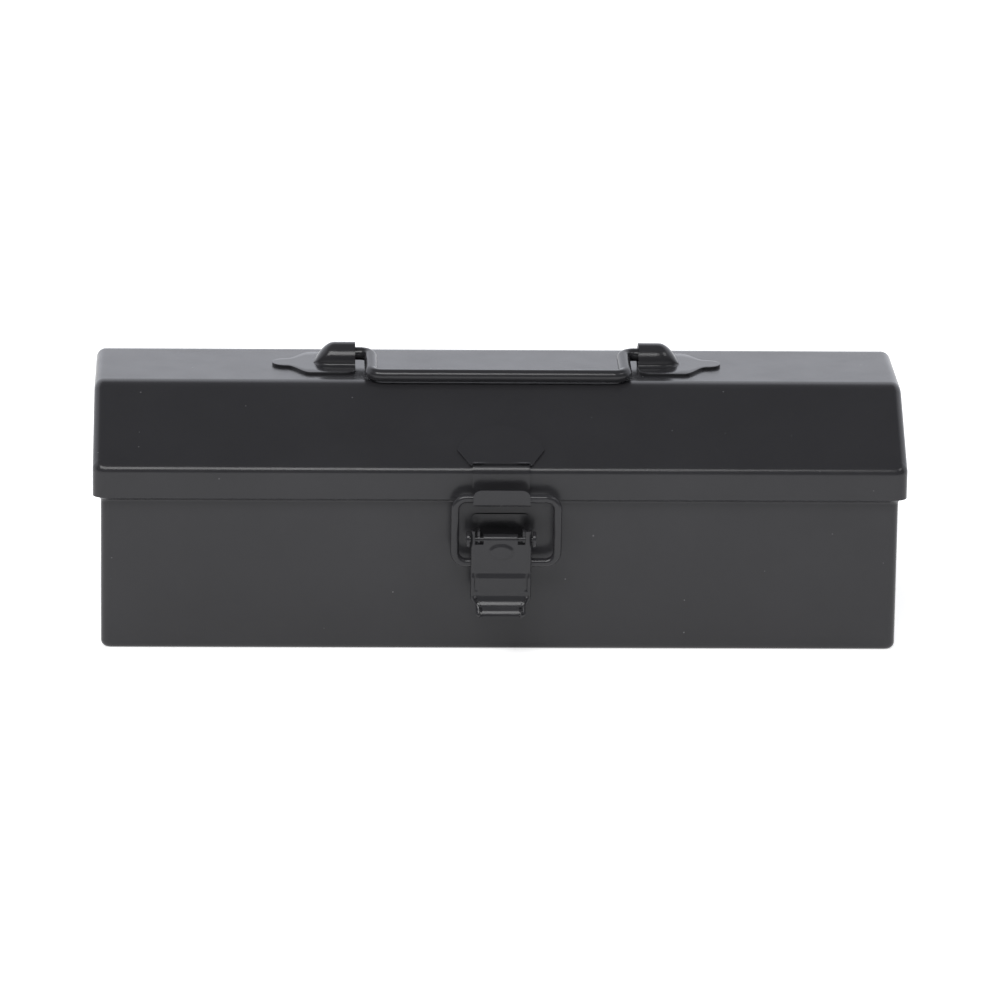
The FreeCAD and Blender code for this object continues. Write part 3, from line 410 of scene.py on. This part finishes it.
BRACKET_GAUGE = 1.2 * MM
BRACKET_EDGE = 0.22 * MM
TAB_HALF = 6.2 * MM
SHOULDER_START = 20.2 * MM
SHOULDER_END = 30.4 * MM
TUNNEL_HALF = 7.2 * MM
TUNNEL_END = 9.2 * MM
DOME_LENGTH = 9.5 * MM
FOOT_CORNER = 5.0 * MM
TUNNEL_FILLET = 1.6 * MM
FILLET_SHARE = 0.45
THIN_EDGE = 0.02 * MM


def foot_half(along, length, half):
    """Half the foot's width at a distance from the tunnel's mouth."""
    if along < FOOT_CORNER:
        return half - FOOT_CORNER + math.sqrt(max(0.0, FOOT_CORNER ** 2 - (FOOT_CORNER - along) ** 2))
    past_round = along - (length - TAB_HALF)
    if past_round > 0:
        return math.sqrt(max(0.0, TAB_HALF ** 2 - past_round ** 2))
    share = ease((along - SHOULDER_START) / (SHOULDER_END - SHOULDER_START))
    return half + (TAB_HALF - half) * share


def bracket_section(half, rise, width):
    """One crosswise section of the bracket: flange, fillet and arch as (y, z) pairs."""
    fillet = min(TUNNEL_FILLET, FILLET_SHARE * rise)
    side = []
    for share in (0.0, 0.35, 0.7):
        side.append((half + (width + fillet - half) * share, 0.0))
    for angle in quarter(5):
        side.append((width + fillet * (1 - math.sin(angle)), fillet * (1 - math.cos(angle))))
    for angle in quarter(11)[1:-1]:
        side.append((width * math.cos(angle), fillet + (rise - fillet) * math.sin(angle)))
    left = [(-y, z) for y, z in side]
    right = [(y, z) for y, z in reversed(side)]
    return left + [(0.0, rise)] + right


def bracket_stations(length):
    """Where the sections stand, measured from the mouth."""
    stations = [FOOT_CORNER * (1 - math.cos(angle)) for angle in quarter(6)]
    stations += [FOOT_CORNER + (TUNNEL_END - FOOT_CORNER) * i / 3 for i in (1, 2)]
    stations += [TUNNEL_END + DOME_LENGTH * math.sin(angle) for angle in quarter(14)]
    flat_start = TUNNEL_END + DOME_LENGTH
    flat_end = length - TAB_HALF
    stations += [flat_start + (flat_end - flat_start) * i / 12 for i in range(1, 13)]
    stations += [flat_end + TAB_HALF * math.sin(angle) for angle in quarter(8)[1:-1]]
    stations.append(length - THIN_EDGE)
    return stations


def make_bracket(side_name, side):
    """The spot-welded foot with a domed tunnel that holds one end of the handle."""
    node = f"handle_bracket_{side_name}"
    low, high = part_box(node)
    mouth = low.x if side > 0 else high.x
    length = high.x - low.x
    half = (high.y - low.y) / 2
    base = low.z + BRACKET_GAUGE
    rise_full = high.z - base
    rows = []
    for along in bracket_stations(length):
        share = min(1.0, max(0.0, (along - TUNNEL_END) / DOME_LENGTH))
        rise = rise_full * (1 - share ** 2)
        width = TUNNEL_HALF * math.sqrt(max(0.0, 1 - share ** 2))
        outer = foot_half(along, length, half)
        section = bracket_section(outer, rise, max(width, THIN_EDGE))
        row = [(mouth + side * along, y, base + z) for y, z in section]
        rows.append(row if side < 0 else row[::-1])
    piece = pressed_sheet(f"bracket_{side_name}", rows, BRACKET_GAUGE, BRACKET_EDGE, "lid", [node])
    return piece


# ------------------------------------------------------------------ keeper

KEEPER_GAUGE = 1.1 * MM
KEEPER_EDGE = 0.45 * MM
KEEPER_NECK = 12.6 * MM
LOBE_HALF = 19.2 * MM
LOBE_WAIST = 11.0 * MM
LOBE_LENGTH = 25.8 * MM
RIM_LEVEL = 83.6 * MM
SLOPE_RISE = 27.7
SLOPE_RUN = 45.55
SLOPE_ANGLE = math.atan2(SLOPE_RISE, SLOPE_RUN)
HOOK_BEND = 1.6 * MM
RIM_BEND = 5.4 * MM
LIP_CORNER = 3.5 * MM
LIP_TOP = 77.1 * MM
LOBE_STEPS = 16
LOBE_TIP_SHARE = 60
NECK_STEPS = 8
KEEPER_ACROSS = (-1.0, -0.97, -0.8, -0.5, -0.2, 0.2, 0.5, 0.8, 0.97, 1.0)


def make_keeper():
    """The lobed plate on the slope, bent over the rim and down into an upturned hook."""
    low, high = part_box("latch_keeper")
    lid_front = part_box("lid_shell")[0].y
    tongue = lid_front - KEEPER_GAUGE
    slope = Vector((math.cos(SLOPE_ANGLE), math.sin(SLOPE_ANGLE)))
    lift = Vector((-slope.y, slope.x)) * KEEPER_GAUGE
    foot = Vector((lid_front, RIM_LEVEL)) + lift
    rim = foot + slope * ((tongue - foot.x) / slope.x)
    floor = low.z + KEEPER_GAUGE
    lip = low.y + KEEPER_GAUGE
    radius = (LOBE_HALF ** 2 + (LOBE_LENGTH - LOBE_WAIST) ** 2) / (2 * (LOBE_LENGTH - LOBE_WAIST))
    centre = LOBE_LENGTH - radius
    waist_angle = math.acos((LOBE_WAIST - centre) / radius)

    sections = []
    for i in range(1, LOBE_STEPS + 1):
        angle = waist_angle * i / LOBE_STEPS
        along = centre + radius * math.cos(angle)
        sections.append((foot + slope * along, radius * math.sin(angle)))
    for i in range(1, NECK_STEPS):
        share = 1 - i / NECK_STEPS
        half = KEEPER_NECK + (LOBE_HALF - KEEPER_NECK) * share
        sections.append((foot + slope * LOBE_WAIST * share, half))
    bends = bent_path(
        [foot + slope * LOBE_WAIST / NECK_STEPS, rim, (tongue, floor), (lip, floor), (lip, LIP_TOP)],
        [RIM_BEND, HOOK_BEND, HOOK_BEND], 7,
    )
    sections += [(point, KEEPER_NECK) for point in bends[1:-1]]
    for angle in quarter(6):
        drop = LIP_CORNER * (1 - math.sin(angle))
        narrow = LIP_CORNER * (1 - math.cos(angle))
        sections.append((Vector((lip, LIP_TOP - drop)), KEEPER_NECK - narrow))
    tip_angle = waist_angle / LOBE_TIP_SHARE
    start = centre + radius * math.cos(tip_angle)
    sections.insert(0, (foot + slope * start, radius * math.sin(tip_angle)))
    rows = []
    for point, half in sections:
        rows.append([(half * share, point.x, point.y) for share in KEEPER_ACROSS])
    piece = pressed_sheet("keeper", rows, KEEPER_GAUGE, KEEPER_EDGE, "lid", ["latch_keeper"], inward=1.0)
    return piece


# ------------------------------------------------------------------- lever

LEVER_GAUGE = 1.0 * MM
LEVER_EDGE = 0.16 * MM
LEVER_TIP_HALF = 10.9 * MM
LEVER_TAPER_TOP = 28.4 * MM
LEVER_TAPER_FOOT = 23.9 * MM
LEVER_FRONT = -86.0 * MM
LEVER_BEND = 1.7 * MM
FINE_TOP = 31.4 * MM

# Extra rows of points where the ledge is, in millimetres.
LEDGE_ROWS = (32.9, 34.9, 36.4, 36.8, 37.1, 37.4, 37.7, 38.0, 38.3, 38.6, 38.9, 39.2, 39.6)
PLAIN_START = 40.2 * MM
PLAIN_STEP = 0.55 * MM
PLAIN_ROWS = 22
TIP_CORNER = 1.0 * MM
PIN_FRONT = -83.6 * MM
PIN_LEVEL = 54.2 * MM
ROLL_RADIUS = 2.4 * MM
ROLL_HALF = 7.8 * MM
NOTCH_HALF = 11.7 * MM
NOTCH_LEVEL = 52.4 * MM
PRESSED_HALF = 10.6 * MM
PRESSED_FADE = 1.3 * MM
BOSS_LEVEL = 49.0 * MM
BOSS_LONG = 6.0 * MM
BOSS_SHORT = 3.6 * MM
BOSS_RISE = 0.55 * MM
BOSS_EDGE = 0.28
BOSS_COLUMN = 0.6 * MM
BOSS_COLUMNS = 25
BESIDE_ROLL = 9.2 * MM
FINE_STEP = 0.3 * MM
EDGE_INSET = 0.05 * MM
ROLL_STEPS = 12
ROLL_TURN = math.radians(205)
LEAN_STEPS = 60
UPPER_STEPS = 3
BEND_STEPS = 5

# The flanges' depth at each level, in millimetres, from the tip upwards.
FLANGE_DEPTHS = (
    (20.4, 1.2), (27.4, 1.6), (32.4, 2.2), (39.0, 3.2), (39.8, 7.8), (41.4, 9.4),
    (45.6, 9.4), (51.6, 6.1), (56.2, 6.1), (58.4, 3.4),
)

# How steeply the face leans out at each level: millimetres, degrees.
LEAN_ANGLES = (
    (20.7, 4.0), (21.4, 17.0), (22.2, 27.0), (22.9, 35.0), (23.5, 42.0), (25.0, 42.0), (25.7, 36.0),
    (26.4, 30.0), (27.2, 22.0), (28.0, 15.0), (28.8, 12.0), (29.6, 5.0), (30.3, 0.0), (36.9, 0.0),
    (37.3, 14.0), (39.2, 14.0), (39.6, 0.0),
)


def lever_lean(level):
    """How far the lever's face stands in front of its plain top part at a level."""
    top = LEAN_ANGLES[-1][0] * MM
    if level >= top:
        return 0.0
    total = 0.0
    step = (top - level) / LEAN_STEPS
    for i in range(LEAN_STEPS):
        here = level + (top - level) * (i + 0.5) / LEAN_STEPS
        total += math.tan(math.radians(between(here / MM, LEAN_ANGLES))) * step
    return total


def boss_height(across, level):
    """The plain oval boss pressed out of the lever's face."""
    out = math.hypot(across / BOSS_LONG, (level - BOSS_LEVEL) / BOSS_SHORT)
    return BOSS_RISE * ease((1.0 - out) / BOSS_EDGE)


def make_lever():
    """The pressed lever: rolled top edge, two flanges, a pressed ledge and a flared tip."""
    low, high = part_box("latch_lever")
    half_top = (high.x - low.x) / 2
    levels = [low.z + EDGE_INSET]
    while levels[-1] < FINE_TOP:
        levels.append(levels[-1] + FINE_STEP)
    levels += [level * MM for level in LEDGE_ROWS]
    levels += [PLAIN_START + PLAIN_STEP * i for i in range(PLAIN_ROWS)]
    levels.append(NOTCH_LEVEL)
    upper = [
        NOTCH_LEVEL + (PIN_LEVEL - NOTCH_LEVEL) * i / UPPER_STEPS for i in range(1, UPPER_STEPS + 1)
    ]
    beside = [-NOTCH_HALF, -PRESSED_HALF, -BESIDE_ROLL, -ROLL_HALF]
    middle = (BOSS_COLUMNS - 1) / 2
    face = beside + [BOSS_COLUMN * (i - middle) for i in range(BOSS_COLUMNS)]
    face += [-x for x in reversed(beside)]
    bend = quarter(BEND_STEPS)

    def row_at(level, rolled=False, roll_turn=0.0):
        taper = ease((LEVER_TAPER_TOP - level) / (LEVER_TAPER_TOP - LEVER_TAPER_FOOT))
        half = half_top + (LEVER_TIP_HALF - half_top) * taper
        round_tip = max(0.0, TIP_CORNER - (level - levels[0]))
        half -= TIP_CORNER - math.sqrt(max(0.0, TIP_CORNER ** 2 - round_tip ** 2))
        lean = lever_lean(level)
        depth = between(level / MM, FLANGE_DEPTHS) * MM
        scale = half / half_top
        left = []
        for share in (1.0, 0.66, 0.33):
            back = LEVER_BEND + max(0.0, depth - LEVER_BEND) * share
            left.append((half, LEVER_FRONT - lean + back, level))
        curl = min(LEVER_BEND, depth)
        for angle in bend:
            across = half - LEVER_BEND * (1 - math.cos(angle))
            left.append((across, LEVER_FRONT - lean + curl * (1 - math.sin(angle)), level))
        row = [(-x, y, z) for x, y, z in left]
        for x in face:
            inside = ease((PRESSED_HALF + PRESSED_FADE - abs(x)) / PRESSED_FADE)
            pressed = lean if level < FINE_TOP else lean * inside
            front = LEVER_FRONT - pressed - boss_height(x, level)
            if rolled and abs(x) <= ROLL_HALF:
                row.append((
                    x, PIN_FRONT - ROLL_RADIUS * math.cos(roll_turn),
                    PIN_LEVEL + ROLL_RADIUS * math.sin(roll_turn),
                ))
            else:
                row.append((x * scale, front, level))
        row += [(x, y, z) for x, y, z in reversed(left)]
        return row

    rows = [row_at(level) for level in levels + upper]
    first_upper = len(levels) - 1
    top = high.z - THIN_EDGE
    for i in range(1, ROLL_STEPS + 1):
        level = PIN_LEVEL + (top - PIN_LEVEL) * i / ROLL_STEPS
        rows.append(row_at(level, True, ROLL_TURN * i / ROLL_STEPS))
    flange = len(bend) + 3
    notch_faces = {flange, flange + 1, flange + 2}
    last = flange + len(face) - 1
    notch_faces |= {last - 1 - k for k in (1, 2, 3)}

    def keep(i, j):
        if i < first_upper:
            return True
        return j not in notch_faces

    piece = pressed_sheet("lever", rows, LEVER_GAUGE, LEVER_EDGE, "latch_lever", ["latch_lever"], keep)
    return piece


# ------------------------------------------------------------------- pieces

STEEL_NODES = ("hinge_pin_left", "hinge_pin_right", "tray_rivets")
TRAY_NODES = ("tray_pan", "tray_handle")
SHELL_NODES = ("body_shell", "lid_shell")


def finish_of(name):
    """Which of the finishes a CAD node wears."""
    if name in STEEL_NODES:
        return "bare_steel"
    if name in TRAY_NODES:
        return "tray_paint"
    if name in SHELL_NODES:
        return "shell_paint"
    return "fitting_paint"


def dress(pieces):
    """Give every CAD node and every new piece its finish."""
    finishes = {
        "shell_paint": satin_paint("satin_black_shell", 0.22, 0.8),
        "fitting_paint": satin_paint("satin_black_fitting", 0.19, 0.35),
        "tray_paint": satin_paint("satin_black_tray", 0.30, 0.5),
        "bare_steel": bare_steel("bright_steel"),
    }
    for name, node in NODES.items():
        node.data.materials.clear()
        node.data.materials.append(finishes[finish_of(name)])
    for piece in pieces:
        piece.data.materials.append(finishes["fitting_paint"])


make_camera()
make_world()
make_lights()
make_floor()
dress([
    make_bracket("left", -1),
    make_bracket("right", 1),
    make_keeper(),
    make_lever(),
])
bpy.context.scene.view_settings.view_transform = "Standard"
